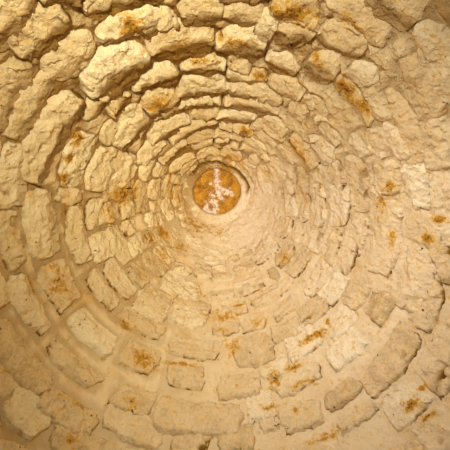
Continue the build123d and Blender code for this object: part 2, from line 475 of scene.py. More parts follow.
def finished(name, bm, node_names, material, smooth=True):
    """Object from a bmesh, riding on the root and standing for its CAD nodes."""
    mesh = mesh_from(name, bm)
    piece = placed(name, mesh)
    mesh.materials.append(material)
    mesh.polygons.foreach_set("use_smooth", [smooth] * len(mesh.polygons))
    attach(piece, "root")
    if node_names:
        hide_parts(*node_names)
    return piece


def read_points(mesh):
    """The mesh's points as an array."""
    points = np.zeros(len(mesh.vertices) * 3)
    mesh.vertices.foreach_get("co", points)
    return points.reshape(-1, 3)


def write_points(mesh, points):
    """Moves the mesh's points to those of an array."""
    mesh.vertices.foreach_set("co", points.astype(np.float32).ravel())
    mesh.update()


def weld(mesh):
    """Closes a mesh's seams and turns its faces outwards."""
    bm = bmesh.new()
    bm.from_mesh(mesh)
    bmesh.ops.remove_doubles(bm, verts=bm.verts, dist=1e-5)
    bmesh.ops.recalc_face_normals(bm, faces=bm.faces)
    bm.to_mesh(mesh)
    bm.free()


def shaped(piece, points, **values):
    """Moves a piece's points, keeps numbers by name for its material, and welds it."""
    write_points(piece.data, points)
    for name, numbers in values.items():
        attribute = piece.data.attributes.new(name, "FLOAT", "POINT")
        attribute.data.foreach_set("value", numbers.astype(np.float32))
    weld(piece.data)
    return piece


def block_mesh(across, high):
    """Closed block with a fine front face at z 0, two wide and two high, and a plain back."""
    bm = bmesh.new()
    bmesh.ops.create_grid(bm, x_segments=across, y_segments=high, size=1.0)
    rim = [edge for edge in bm.edges if edge.is_boundary]
    skirt = bmesh.ops.extrude_edge_only(bm, edges=rim)
    back = [item for item in skirt["geom"] if isinstance(item, bmesh.types.BMVert)]
    bmesh.ops.translate(bm, verts=back, vec=(0, 0, -1))
    back_rim = [edge for edge in bm.edges if edge.is_boundary]
    bmesh.ops.holes_fill(bm, edges=back_rim, sides=0)
    bmesh.ops.recalc_face_normals(bm, faces=bm.faces)
    return mesh_from("block", bm)


def blocks(name, cells, node, material, smooth=True):
    """Piece of blocks with the given cells across and up, and the block of each point."""
    bm = bmesh.new()
    shapes = {pair: block_mesh(*pair) for pair in sorted(set(cells))}
    sizes = [len(shapes[pair].vertices) for pair in cells]
    for pair in cells:
        bm.from_mesh(shapes[pair])
    for mesh in shapes.values():
        bpy.data.meshes.remove(mesh)
    piece = finished(name, bm, [node], material, smooth)
    return piece, np.repeat(np.arange(len(cells)), sizes)


# Vault stones


def fill_stone(start, end, low, high, chance):
    """A stone between noted ones: prouder and more ridged towards the +Y side."""
    side = 0.5 + 0.5 * math.cos(math.radians((start + end) / 2))
    trim = (high - low) * (0.10 - 0.07 * side)
    return Stone(
        start,
        end,
        low + chance.uniform(-0.3, 1.0) * trim,
        high - chance.uniform(-0.3, 1.0) * trim,
        (7 + 16 * side**3) * chance.uniform(0.7, 1.4),
        (5 + 22 * side**3) * chance.uniform(0.6, 1.4),
        chance.uniform(0.15, 0.75),
        chance.uniform(0.55, 0.9),
        chance.uniform(-12, 12),
    )


def laid_course(low, high, chance):
    """The stones of one course: those noted, and others to fill between them."""
    radius = float(vault_radius((low + high) / 2000))
    usual = min(0.27, 0.09 + 0.17 * radius)
    stones = sorted(s for s in NOTED_STONES if low <= (s.low + s.high) / 2 < high)
    if stones:
        starts = [stone.start for stone in stones]
        ends = [stone.end for stone in stones]
        gaps = list(zip(ends, starts[1:] + [starts[0] + 360]))
    else:
        first = chance.uniform(0, 30)
        gaps = [(first, first + 360)]
    for start, end in gaps:
        width = math.radians(end - start) * radius
        count = max(round(width / usual), 1 if width > NARROWEST_FILL else 0)
        shares = [chance.uniform(0.65, 1.45) for _ in range(count)]
        at = start
        for share in shares:
            turn = (end - start) * share / sum(shares)
            stones.append(fill_stone(at, at + turn, low, high, chance))
            at += turn
    return stones


def lay_vault():
    """The stones of every course, each with the random source that cuts them."""
    courses = []
    for number in range(1, len(COURSE_NODES) + 1):
        chance = random.Random(COURSE_SEED + number)
        stones = laid_course(1000 * BEDS[number - 1], 1000 * BEDS[number], chance)
        courses.append((stones, chance))
    return courses


def stone_numbers(stones, index, chance):
    """Sizes and random wear of a course's stones, given for each point of their blocks.

    Away is 0 for a stone on the +Y side and 1 opposite. The block stands from low to high,
    with its ridge at the share called turn, so that its face seems to end at the noted
    edges when it is seen from the eye.
    """
    rows = np.array(stones, float)
    count = len(rows)
    rng = np.random.default_rng(chance.randrange(1 << 30))
    middle = np.radians((rows[:, 0] + rows[:, 1]) / 2)
    away = 0.5 - 0.5 * np.cos(middle)
    base = by_bearing(middle, BEDDING_FACES)
    proud = rows[:, 4] / 1000 * (1 + 0.5 * away)
    low, seen_high = rows[:, 2] / 1000, rows[:, 3] / 1000
    slip = 1.2 - 0.45 * away
    high = seen_high + slip * (by_bearing(middle, RAKED_DEPTHS) - base)
    turn = low + (0.25 * away + 0.75) * rows[:, 7] * (seen_high - low) - slip * (base + proud)
    radius = vault_radius((low + high) / 2)
    joint = 0.009 * away - 0.003
    splay = (0.010 + 0.011 * away)[:, None, None, None]
    numbers = dict(
        middle=middle,
        away=away,
        base=base,
        proud=proud + 0.005,
        turn=np.clip((turn - low) / (high - low), 0.2, 0.9),
        level=(low + high) / 2,
        radius=radius,
        half_wide=np.radians((rows[:, 1] - rows[:, 0]) / 2) * radius - joint,
        half_high=(high - low) / 2 - joint,
        lean=rows[:, 5] * 0.001,
        tone=rows[:, 6],
        tilt=rows[:, 8] * 0.001,
        pinch=end_pinch(middle),
        corner=rng.uniform(-1, 1, (count, 2, 2, 2)) * splay,
        slant=rng.uniform(-0.014, 0.014, (count, 6, 2)),
        top=rng.uniform(0.0, 0.009, (count, 6)),
        arris=rng.uniform(0.006, 0.016, count),
        apart=rng.uniform(-50, 50, (count, 3)),
        roundness=rng.uniform(0.1, 0.5, count),
        rough=rng.uniform(0.6, 1.4, count) * (1.5 - 0.5 * away),
    )
    return SimpleNamespace(**{name: values[index] for name, values in numbers.items()})


def cut_outline(cut, s, t):
    """Sets where points lie along and up from their stones' middles, and the ragged edges."""
    cut.taper = 1 - cut.pinch * np.abs(s) ** 3
    across = s * np.sqrt(1 - cut.roundness * t * t / 2)
    up = t * np.sqrt(1 - cut.roundness * s * s / 2) * cut.taper
    ws, wt = (s + 1) / 2, (t + 1) / 2
    shift = np.zeros((len(s), 2))
    for a, b in itertools.product((0, 1), repeat=2):
        share = (ws if a else 1 - ws) * (wt if b else 1 - wt)
        shift += share[:, None] * cut.corner[:, a, b]
    u = cut.half_wide * across + shift[:, 0]
    v = cut.half_high * up + shift[:, 1] * np.minimum(1, cut.half_high / 0.06) + cut.tilt * ws
    cut.spot = on_vault(cut.middle + u / cut.radius, cut.level + v) + cut.apart
    ragged = np.maximum(np.abs(s), np.abs(t)) ** 2
    nicked = 0.006 * flakes(cut.spot, 0.030, 25)
    u = u + ragged * ((0.009 + 0.005 * cut.away) * grain(cut.spot, 0.06, 3, 21) + nicked)
    v = v + ragged * (0.008 * grain(cut.spot, 0.06, 3, 31) - nicked)
    cut.bearing = cut.middle + u / vault_radius(cut.level + v)
    low, high = BEDS[0] + 0.002, BEDS[-1] - 0.004
    cut.height = np.clip(cut.level + v, low, high) + 0.01 * v


def cut_faces(cut, s, t):
    """Sets the relief of the stones' faces, and how far their worn edges fall away."""
    wt = (t + 1) / 2
    turn = cut.turn + 0.06 * lumps(cut.spot, 0.09, 51) + 0.03 * flakes(cut.spot, 0.045, 55)
    cut.above = np.clip((wt - turn) / (1 - turn), 0, 1)
    below = np.clip((turn - wt) / turn, 0, 1)
    near_crown = 1 + 0.6 * smooth_step(2.9, 3.2, cut.level) * (1 - cut.away)
    fold = np.minimum(cut.lean * near_crown, 0.62 * (1 - turn) * cut.half_high)
    folded = -fold * cut.above**1.1 - 0.55 * cut.lean * below**1.3
    planes = cut.top + cut.slant[:, :, 0] * s[:, None] + cut.slant[:, :, 1] * t[:, None]
    cut.relief = np.min(planes, axis=1) + folded + 0.014 * cut.away * (1 - 2 * wt)
    ends = cut.half_high * cut.taper * np.where(t < 0, (1 + t) * (1 + 1.6 * cut.away), 1 - t)
    inside = np.minimum(cut.half_wide * (1 - np.abs(s)), ends)
    cut.edge = 1 - np.clip(inside / cut.arris, 0, 1)
    cut.fall = cut.arris * (1 - np.sqrt(1 - cut.edge * cut.edge * 0.98))
    crag = 0.6 * grain(cut.spot * (1, 1, 1.5), 0.09, 4, 11) + flakes(cut.spot, 0.060, 41)
    cut.crag = crag * chosen().relief


def bed_faces(cut):
    """Sets how far the faces stand out from the vault, never lost in the mortar's bed."""
    bed = pointing_bed(cut.bearing, cut.height, 1.0)
    proud = cut.base + cut.proud + cut.relief + cut.rough * cut.crag
    face = np.maximum(proud, bed + 0.008 + 0.4 * cut.rough * cut.crag)
    cut.hidden = smoothed_over(cut.bearing, cut.height)
    plastered = bed - 0.010 + 0.5 * cut.rough * cut.crag + 0.018 * cut.tone
    face = face + (plastered - face) * cut.hidden
    cut.depth = with_lip(face - cut.fall, cut.bearing, cut.height)
    cut.clear = face - cut.fall - bed


def stone_finish(cut, t, front):
    """How limed the stones are, how much shade is painted on them, and how pale they are, at each
    point.
    """
    limed = 1 - smooth_step(-0.001, 0.006, cut.clear)
    limed = np.maximum(limed, 0.85 * cut.hidden)
    # Painted shadow: a dark line along the lower edges of the stones, away from the +Y side
    under = bump_at(cut.clear, 0.002, 0.005) * smooth_step(0.0, -0.5, t)
    under = under * smooth_step(0.15, 0.5, cut.away)
    under = under * smooth_step(-0.5, 0.1, lumps(cut.spot, 0.13, 83))
    under = under * (1 - smooth_step(0.0, 0.5, cut.hidden))
    # Painted shade on the facets that lean back above each stone's ridge, where its face sinks
    # behind its proud, and along its upper rims
    upper = smooth_step(0.2, 0.6, (t + 1) / 2)
    lee = smooth_step(0.0, 0.30, cut.above) * smooth_step(0.006, 0.022, cut.lean)
    hollow = smooth_step(0.010, 0.045, cut.base + cut.proud - cut.depth) * upper
    rim = smooth_step(0.70, 0.97, cut.edge) * upper * front
    rim = 1.5 * rim * smooth_step(-0.5, 0.1, lumps(cut.spot, 0.11, 87)) * (1 - cut.hidden)
    painted_shade = np.maximum(np.maximum(lee, hollow), rim) * by_bearing(cut.bearing, HOLLOW_SHADE_BY_BEARING)
    tone = 0.5 + (cut.tone - 0.5) * (1 - 0.5 * smooth_step(2.9, 3.3, cut.height))
    return limed * (1 - under), np.maximum(painted_shade, 1.6 * under), tone


def vault_finish(points, painted_shade):
    """Where the vault is golden, plastered at the crown, painted with shade, and rusty."""
    bearing, height = bearing_of(points), points[:, 2]
    return {
        "golden": by_bearing(bearing, GOLDEN_BY_BEARING),
        "crown": smoothed_over(bearing, height),
        # Painted shade in the wavy grooves round the crown's lip
        "painted_shade": np.maximum(painted_shade, 1.5 * crown_groove(bearing, height)),
        "rust": rust_at(points),
    }


def make_course(number, stones, chance, material):
    """One course of the vault as separate rough stones, bedded in the pointing."""
    cell = chosen().stone_cell * 1
    cell = cell if BEDS[number] > FIRST_SEEN else UNSEEN_COARSER * cell
    cells = []
    for stone in stones:
        level = (stone.low + stone.high) / 2000
        width = math.radians(stone.end - stone.start) * float(vault_radius(level))
        height = (stone.high - stone.low) / 1000
        cells.append((max(5, round(width / cell)), max(4, round(height / cell))))
    name = f"stones_{number:02d}"
    node = COURSE_NODES[number - 1]
    piece, index = blocks(name, cells, node, material)
    s, t, layer = read_points(piece.data).T
    front = layer > -0.5
    cut = stone_numbers(stones, index, chance)
    cut_outline(cut, s, t)
    cut_faces(cut, s, t)
    bed_faces(cut)
    cut.depth = np.where(front, cut.depth, -STONE_DEPTH)
    limed, painted_shade, tone = stone_finish(cut, t, front)
    points = on_vault(cut.bearing, cut.height, cut.depth)
    return shaped(piece, points, **vault_finish(points, painted_shade), limed=limed, tone=tone)


# A noted rust-stained patch: bearing in degrees, height, reach along the bed and
# up, and strength
Stain = namedtuple("Stain", "bearing height along up strength")

NOTED_STAINS = (
    (-21, 2.04, 0.03, 0.04, 1.0),
    (18.5, 1.975, 0.07, 0.035, 1.1),
    (6, 2.21, 0.07, 0.025, 0.7),
    (-12, 2.24, 0.09, 0.04, 0.6),
    (2, 2.31, 0.03, 0.04, 0.7),
    (-5, 2.36, 0.07, 0.02, 0.6),
    (23, 2.32, 0.06, 0.02, 0.9),
    (17.5, 2.42, 0.03, 0.03, 0.9),
    (-27, 2.58, 0.06, 0.04, 0.9),
    (31, 2.12, 0.03, 0.015, 0.8),
    (32, 1.885, 0.07, 0.015, 0.6),
    (22, 2.985, 0.03, 0.025, 1.1),
    (22, 3.42, 0.08, 0.05, 0.65),
    (20, 3.51, 0.05, 0.02, 0.8),
    (43, 2.17, 0.05, 0.025, 1.1),
    (50, 2.15, 0.04, 0.02, 0.9),
    (55, 2.75, 0.10, 0.04, 0.7),
    (76.5, 2.165, 0.025, 0.025, 0.9),
    (85, 1.92, 0.015, 0.025, 1.0),
    (90.5, 1.965, 0.02, 0.025, 1.0),
    (93, 2.15, 0.03, 0.015, 0.7),
    (84, 2.24, 0.06, 0.04, 0.45),
    (79, 2.675, 0.03, 0.012, 0.6),
    (66, 3.19, 0.04, 0.015, 0.7),
    (124.5, 1.72, 0.02, 0.01, 1.0),
    (129, 1.70, 0.03, 0.015, 1.0),
    (128, 1.635, 0.03, 0.01, 1.0),
    (127.5, 2.825, 0.03, 0.025, 0.7),
    (132, 2.28, 0.015, 0.02, 0.8),
    (139, 2.25, 0.07, 0.015, 1.0),
    (151, 2.155, 0.04, 0.018, 0.9),
    (159, 2.14, 0.025, 0.035, 0.9),
    (151, 2.06, 0.06, 0.012, 0.7),
    (155.8, 1.955, 0.015, 0.015, 1.0),
    (163.5, 2.005, 0.02, 0.01, 1.0),
    (151, 1.80, 0.05, 0.015, 0.8),
    (173, 2.40, 0.03, 0.04, 0.7),
    (159, 2.52, 0.05, 0.04, 0.5),
    (176, 2.62, 0.11, 0.03, 0.55),
    (166, 2.685, 0.06, 0.01, 0.8),
    (177, 2.51, 0.04, 0.02, 0.6),
    (193, 2.27, 0.08, 0.015, 0.8),
    (208, 2.23, 0.07, 0.04, 0.8),
    (206, 1.99, 0.03, 0.02, 0.8),
    (220, 2.355, 0.06, 0.012, 0.9),
    (220, 1.87, 0.06, 0.015, 0.7),
    (216, 1.73, 0.03, 0.02, 0.8),
    (218, 3.13, 0.05, 0.04, 0.6),
    (222, 3.42, 0.14, 0.06, 0.5),
    (180, 3.41, 0.07, 0.02, 0.45),
    (190, 2.80, 0.04, 0.03, 0.5),
    (239, 3.10, 0.06, 0.03, 0.9),
    (240, 2.97, 0.05, 0.02, 0.8),
    (228, 2.95, 0.06, 0.04, 0.5),
    (250, 2.20, 0.10, 0.05, 0.5),
    (254, 2.075, 0.06, 0.01, 0.8),
    (268, 2.68, 0.07, 0.04, 0.5),
    (278, 2.80, 0.05, 0.06, 1.0),
    (274, 2.36, 0.05, 0.01, 0.7),
    (286.5, 2.335, 0.03, 0.015, 1.0),
    (294, 2.335, 0.025, 0.018, 1.1),
    (302, 2.335, 0.03, 0.02, 1.1),
    (281, 2.92, 0.08, 0.012, 0.8),
    (288, 3.275, 0.06, 0.02, 0.9),
    (260, 3.42, 0.05, 0.02, 0.6),
    (275, 3.36, 0.05, 0.06, 0.55),
    (302, 2.56, 0.05, 0.012, 0.5),
)
NOTED_STAINS = tuple(Stain(*row) for row in NOTED_STAINS)


def rust_at(points):
    """How rusty the face is near the noted stains, from 0 to 1."""
    bearing = bearing_of(points)
    radius = np.hypot(points[:, 0], points[:, 1])
    rust = np.zeros(len(points))
    for stain in NOTED_STAINS:
        along = turned_from(bearing, math.radians(stain.bearing)) * radius / stain.along
        up = (points[:, 2] - stain.height) / stain.up
        rust = np.maximum(rust, stain.strength * np.exp(-0.5 * (along**2 + up**2)))
    return rust


def clear_of_stones(bearing, height, courses):
    """How far points of the pointing lie from the nearest stone, up to 0.2 m."""
    nearest = np.full(len(bearing), 0.2)
    for stone in itertools.chain.from_iterable(stones for stones, _ in courses):
        level = (stone.low + stone.high) / 2000
        close = np.flatnonzero(np.abs(height - level) < 0.30)
        middle = math.radians((stone.start + stone.end) / 2)
        turn = np.abs(turned_from(bearing[close], middle))
        half_turn = math.radians(stone.end - stone.start) / 2
        beside = (turn - half_turn) * vault_radius(height[close])
        taper = 1 - end_pinch(middle) * np.minimum(turn / half_turn, 1) ** 3
        above = np.abs(height[close] - level) - taper * (stone.high - stone.low) / 2000
        nearest[close] = np.minimum(nearest[close], np.maximum(beside, above))
    return nearest


def make_pointing(courses, material):
    """Lime mortar and packing that the vault's stones are bedded in: one closed ring."""
    turns, fine, finer = MORTAR_GRID
    low, high = BEDS[0] + 0.001, BEDS[-1] - 0.001
    unseen = np.linspace(low, FIRST_SEEN, UNSEEN_ROWS, endpoint=False)
    seen = np.linspace(FIRST_SEEN, NEAR_CROWN, fine, endpoint=False)
    crown = np.linspace(NEAR_CROWN, high, finer)
    levels = np.concatenate([unseen, seen, crown, [high, low, low]])
    front = np.concatenate([np.ones(UNSEEN_ROWS + fine + finer), [0, 0, 1]])
    bm = bmesh.new()
    bmesh.ops.create_grid(bm, x_segments=turns, y_segments=len(levels) - 1, size=1.0)
    piece = finished("pointing", bm, [], material)
    flat = read_points(piece.data)
    bearing = flat[:, 0] * math.pi
    level = np.rint((flat[:, 1] + 1) / 2 * (len(levels) - 1)).astype(int)
    height = levels[level]
    clear = clear_of_stones(bearing, height, courses)
    spot = on_vault(bearing, height)
    moat = 0.012 + 0.026 * by_bearing(bearing, HOLLOW_SHADE_BY_BEARING)
    spread = smooth_step(0.002, moat, clear + 0.014 * grain(spot, 0.05, 2, 97))
    swell = by_bearing(bearing, FIELD_SWELLS) * (1 + 0.5 * flakes(spot, 0.09, 19))
    face = pointing_bed(bearing, height, 1 - 0.8 * spread) + spread * swell
    face = with_lip(face, bearing, height)
    back = BACK_SPRINGING + (BACK_CROWN - BACK_SPRINGING) * height / VAULT_RISE
    back = back - MORTAR_CLEARANCE
    radius = np.where(front[level] > 0.5, vault_radius(height) - face, back)
    points = around(bearing, radius, height)
    # Painted shade in the narrow joints beside the stones, strongest on the +Y side
    finish = vault_finish(points, by_bearing(bearing, HOLLOW_SHADE_BY_BEARING) * (1 - spread))
    crags = by_bearing(bearing, CRAGGY_PACKING) * smooth_step(3.3, 2.6, height)
    return shaped(piece, points, **finish, craggy=crags)


# Closing stone


# A noted pale scar on the closing stone: its middle, reach and turn in degrees
Scar = namedtuple("Scar", "x y along across turn")

NOTED_SCARS = (
    Scar(0.000, 0.170, 0.075, 0.022, 82),
    Scar(-0.002, 0.060, 0.070, 0.026, 76),
    Scar(-0.020, -0.020, 0.060, 0.030, 60),
    Scar(0.025, -0.095, 0.080, 0.030, 70),
    Scar(0.020, -0.170, 0.050, 0.024, 90),
    Scar(-0.105, -0.010, 0.040, 0.030, 20),
    Scar(-0.060, 0.015, 0.050, 0.020, 10),
    Scar(0.100, -0.150, 0.060, 0.022, 110),
    Scar(0.070, -0.180, 0.040, 0.024, 30),
    Scar(0.055, 0.070, 0.016, 0.012, 0),
)


def scarred_at(x, y):
    """How scarred the closing stone is near the noted scars, from 0 to 1."""
    scarred = np.zeros(len(x))
    for scar in NOTED_SCARS:
        turn = math.radians(scar.turn)
        along = (x - scar.x) * math.cos(turn) + (y - scar.y) * math.sin(turn)
        across = (y - scar.y) * math.cos(turn) - (x - scar.x) * math.sin(turn)
        part = np.exp(-0.5 * ((along / scar.along) ** 2 + (across / scar.across) ** 2))
        scarred = np.maximum(scarred, part)
    return scarred


def make_closing_stone(material):
    """Round iron-stained stone over the hole, with a rough underside."""
    low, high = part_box("closing_stone")
    radius = (high.x - low.x) / 2
    name = "closing_stone_dressed"
    piece, _ = blocks(name, [CLOSING_CELLS], "closing_stone", material)
    s, t, layer = read_points(piece.data).T
    x = -radius * s * np.sqrt(1 - t * t / 2)
    y = -radius * t * np.sqrt(1 - s * s / 2)
    spot = np.stack([x, y, np.zeros(len(x))], axis=-1)
    relief = 0.014 + 0.008 * grain(spot, 0.09, 4, 61) + 0.004 * flakes(spot, 0.04, 63)
    scarred = scarred_at(x, y)
    height = np.where(layer < -0.5, high.z, low.z + relief - 0.004 * scarred)
    return shaped(piece, np.stack([x, y, height], axis=-1), scarred=scarred)


# Roof

# A slab's ends are in radians, the rest in metres, but for its tone from 0 to 1
Slab = namedtuple("Slab", "start end foot head reach depth tone")


def slab_layer(foot, head, reach, depth, length, chance):
    """One layer of slabs round the roof, with random lengths."""
    count = max(6, round(2 * math.pi * reach / length))
    shares = [chance.uniform(0.6, 1.5) for _ in range(count)]
    at = chance.uniform(0, 2 * math.pi)
    slabs = []
    for share in shares:
        turn = 2 * math.pi * share / sum(shares)
        set_back = chance.uniform(0, 0.014)
        top = head - chance.uniform(0.001, 0.005)
        tone = chance.uniform(0, 1)
        slabs.append(Slab(at, at + turn, foot, top, reach - set_back, depth, tone))
        at += turn
    return slabs


def make_slabs(name, slabs, node, material):
    """A piece of thin slabs with rough outer edges."""
    cells = [SLAB_CELLS] * len(slabs)
    piece, index = blocks(name, cells, node, material, smooth=False)
    s, t, layer = read_points(piece.data).T
    start, end, foot, head, reach, depth, tone = np.array(slabs)[index].T
    joint = SLAB_JOINT / reach
    turn = (start + end) / 2 + ((end - start) / 2 - joint) * s
    height = foot + (head - foot) * (np.clip(t * 1.25, -1, 1) + 1) / 2
    spot = np.stack([np.cos(turn) * reach, np.sin(turn) * reach, height], axis=-1)
    chamfer = 0.007 * (np.abs(t) > 0.9) + 0.010 * (np.abs(s) > 0.9)
    edge = reach - chamfer - 0.006 * (1 + lumps(spot, 0.11, 71))
    edge = edge - 0.003 * (1 + lumps(spot, 0.04, 73))
    radius = np.where(layer < -0.5, reach - depth, edge)
    points = np.stack([np.cos(turn) * radius, np.sin(turn) * radius, height], axis=-1)
    return shaped(piece, points, tone=tone)


def make_roof_band(number, material):
    """One band of the roof's skin: steps of two thin layers of slabs."""
    chance = random.Random(BAND_SEED + number)
    node = BAND_NODES[number]
    low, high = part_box(node)
    step = (high.z - low.z) / STEPS_PER_BAND
    depth = SKIN_THICKNESS - 0.005
    slabs = []
    for number_up in range(STEPS_PER_BAND):
        foot = low.z + step * number_up
        reach = SKIN_SPRINGING - SKIN_SLOPE * foot
        middle = foot + step * chance.uniform(0.42, 0.58)
        length = chosen().slab_length * chance.uniform(0.84, 1.16)
        slabs += slab_layer(foot, middle, reach, depth, length, chance)
        slabs += slab_layer(middle, foot + step, reach - 0.005, depth, length, chance)
    return make_slabs(f"slabs_{number + 1:02d}", slabs, node, material)


def make_eaves(material):
    """The eaves: two layers of large slabs."""
    chance = random.Random(EAVES_SEED)
    low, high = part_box("eaves_course")
    reach = high.x * TO_FLATS
    depth = reach - BACK_SPRINGING - 0.01
    middle = low.z + EAVES_BED
    length = chosen().eaves_length
    slabs = slab_layer(low.z, middle, reach - 0.006, depth, 1.09 * length, chance)
    slabs += slab_layer(middle, high.z + 0.001, reach - 0.022, depth - 0.022, 0.91 * length, chance)
    return make_slabs("eaves_slabs", slabs, "eaves_course", material)


def make_turned(name, outline, node, seed, material):
    """Round stone from the outline of half its section, weathered."""
    bm = bmesh.new()
    verts = [bm.verts.new((radius, 0, height)) for radius, height in outline]
    edges = [bm.edges.new(pair) for pair in zip(verts, verts[1:])]
    for edge in edges:
        cuts = int(edge.calc_length() / TURNED_CELL)
        if cuts:
            bmesh.ops.subdivide_edges(bm, edges=[edge], cuts=cuts)
    bmesh.ops.spin(
        bm,
        geom=bm.verts[:] + bm.edges[:],
        cent=(0, 0, 0),
        axis=(0, 0, 1),
        angle=2 * math.pi,
        steps=TURNED_STEPS,
        use_merge=True,
    )
    bmesh.ops.remove_doubles(bm, verts=bm.verts, dist=1e-5)
    bmesh.ops.smooth_vert(
        bm, verts=bm.verts, factor=0.5, use_axis_x=True, use_axis_y=True, use_axis_z=True
    )
    bmesh.ops.recalc_face_normals(bm, faces=bm.faces)
    piece = finished(name, bm, [node], material)
    points = read_points(piece.data)
    worn = TURNED_WEAR * (1 + grain(points, 0.09, 4, seed))
    worn = worn / np.maximum(np.hypot(*points.T[:2]), 0.03)
    points[:, :2] *= 1 - np.clip(worn, 0, 0.2)[:, None]
    write_points(piece.data, points)
    return piece


def make_cap(material):
    """Cap stone: a rim with a slope above it."""
    low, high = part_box("cap_stone")
    rim = (high.x - low.x) / 2 * TO_FLATS
    shoulder = low.z + CAP_RIM_HEIGHT
    outline = ((0, low.z), (rim, low.z), (rim, shoulder), (CAP_TOP_RADIUS, high.z), (0, high.z))
    return make_turned("cap_dressed", outline, "cap_stone", 81, material)


def make_pinnacle(material):
    """Pinnacle: a plinth, a waisted neck, a disc and a ball."""
    low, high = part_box("pinnacle")
    plinth, neck, disc = low.z + PLINTH_TOP, low.z + NECK_TOP, low.z + DISC_TOP
    ball = high.z - math.sqrt(BALL_RADIUS**2 - BALL_FLAT_RADIUS**2)
    waist = [
        (NECK_RADIUS + NECK_SWELL * math.cos(2 * math.pi * part), plinth + (neck - plinth) * part)
        for part in np.linspace(0, 1, 17)
    ]
    seat = math.asin((disc - ball) / BALL_RADIUS)
    swell = [
        (BALL_RADIUS * math.cos(angle), min(ball + BALL_RADIUS * math.sin(angle), high.z))
        for angle in np.linspace(seat, math.pi / 2, 30)
    ]
    outline = [(0, low.z), (PLINTH_RADIUS, low.z), (PLINTH_RADIUS, plinth), *waist]
    outline += [(DISC_RADIUS, neck), (DISC_RADIUS, disc), *swell[:-1], (0, high.z)]
    return make_turned("pinnacle_dressed", outline, "pinnacle", 83, material)


# Materials


class Wire:
    """A socket of a shader, with the sums that can be done on it."""

    def __init__(self, tree, socket):
        self.tree = tree
        self.socket = socket

    def _math(self, operation, first, second):
        node = self.tree.nodes.new("ShaderNodeMath")
        node.operation = operation
        for socket, value in zip(node.inputs, (first, second)):
            feed(self.tree, socket, value)
        return Wire(self.tree, node.outputs[0])

    def __add__(self, other):
        return self._math("ADD", self, other)

    __radd__ = __add__

    def __mul__(self, other):
        return self._math("MULTIPLY", self, other)

    __rmul__ = __mul__

    def __sub__(self, other):
        return self._math("SUBTRACT", self, other)

    def __rsub__(self, other):
        return self._math("SUBTRACT", other, self)


def feed(tree, socket, value):
    """Links a wire to a socket, or sets the socket's own value."""
    if isinstance(value, Wire):
        tree.links.new(value.socket, socket)
    elif socket.type == "RGBA":
        socket.default_value = (*value, 1.0)
    else:
        socket.default_value = value


class Finish:
    """A procedural material under construction."""

    def __init__(self, name):
        self.material = bpy.data.materials.new(name)
        self.material.use_nodes = True
        self.tree = self.material.node_tree
        self.shader = self.tree.nodes["Principled BSDF"]

    def node(self, kind, settings=(), output=0, **values):
        """Adds a node with its settings and the values or wires of its sockets."""
        node = self.tree.nodes.new(kind)
        for key, value in dict(settings).items():
            setattr(node, key, value)
        for key, value in values.items():
            feed(self.tree, node.inputs[key.replace("_", " ")], value)
        return Wire(self.tree, node.outputs[output])

    def place(self, scale=(1, 1, 1)):
        """Object coordinates, stretched where a pattern lies along one axis."""
        where = self.node("ShaderNodeTexCoord", output="Object")
        return self.node("ShaderNodeMapping", Vector=where, Scale=scale)

    def clouds(self, size, detail=4.0, roughness=0.6, scale=(1, 1, 1)):
        """Noise from 0 to 1 with patches of about a size in metres."""
        return self.node(
            "ShaderNodeTexNoise",
            Vector=self.place(scale),
            Scale=1 / size,
            Detail=detail,
            Roughness=roughness,
        )

    def cells(self, size, output="Distance"):
        """Distance to the nearest of points that lie about a size apart."""
        return self.node("ShaderNodeTexVoronoi", output=output, Vector=self.place(), Scale=1 / size)

    def kept(self, name):
        """A number kept on the mesh's points."""
        settings = {"attribute_name": name, "attribute_type": "GEOMETRY"}
        return self.node("ShaderNodeAttribute", settings, output="Fac")

    def eased(self, value, low, high):
        """0 below low and 1 above high."""
        settings = {"interpolation_type": "SMOOTHSTEP"}
        return self.node("ShaderNodeMapRange", settings, Value=value, From_Min=low, From_Max=high)

    def mixed(self, factor, first, second, blend="MIX"):
        """One colour into another, or multiplied by it."""
        node = self.tree.nodes.new("ShaderNodeMix")
        node.data_type = "RGBA"
        node.blend_type = blend
        node.clamp_factor = True
        for place, value in ((0, factor), (6, first), (7, second)):
            feed(self.tree, node.inputs[place], value)
        return Wire(self.tree, node.outputs[2])

    def blotched(self, colour, over, share, cloud, low, high):
        """A colour with a share of another over it, where clouds rise from low to high."""
        return self.mixed(self.eased(self.clouds(*cloud), low, high) * share, colour, over)

    def finish(self, colour, roughness, height=None, depth=0.0):
        """Wires the colour, the roughness and the relief to the shader."""
        feed(self.tree, self.shader.inputs["Base Color"], colour)
        feed(self.tree, self.shader.inputs["Roughness"], roughness)
        self.shader.inputs["Specular IOR Level"].default_value = 0.25
        if height is not None:
            bump = self.node("ShaderNodeBump", Height=height, Distance=depth, Strength=1.0)
            feed(self.tree, self.shader.inputs["Normal"], bump)
        return self.material


GOLDEN_TINT = srgb(250, 246, 210)
# Painted shadow lines at the stones' rims and lower edges and in the crown's grooves
SHADOW_LINE_BROWN = srgb(92, 58, 14)
# Painted shade in the limestone's pits
PIT_SHADE = srgb(60, 36, 12)

RUSTY_BROWN = srgb(150, 96, 14)
RUSTY_OCHRE = srgb(204, 144, 34)
RUSTY_CREAM = srgb(232, 176, 84)
RUSTY_DARK = srgb(112, 66, 10)
SCAR_PALE = srgb(238, 212, 178)
CHIP_PALE = srgb(246, 222, 180)

DARK_LICHEN = srgb(72, 70, 64)
PALE_LICHEN = srgb(206, 202, 190)
YELLOW_LICHEN = srgb(176, 140, 62)
BARE_STONE = srgb(160, 152, 136)

DARK_RUBBLE = srgb(120, 100, 74)
PALE_RUBBLE = srgb(176, 156, 120)
EARTH = srgb(92, 70, 48)
FLOOR_COLOUR = (0.75, 0.74, 0.72)


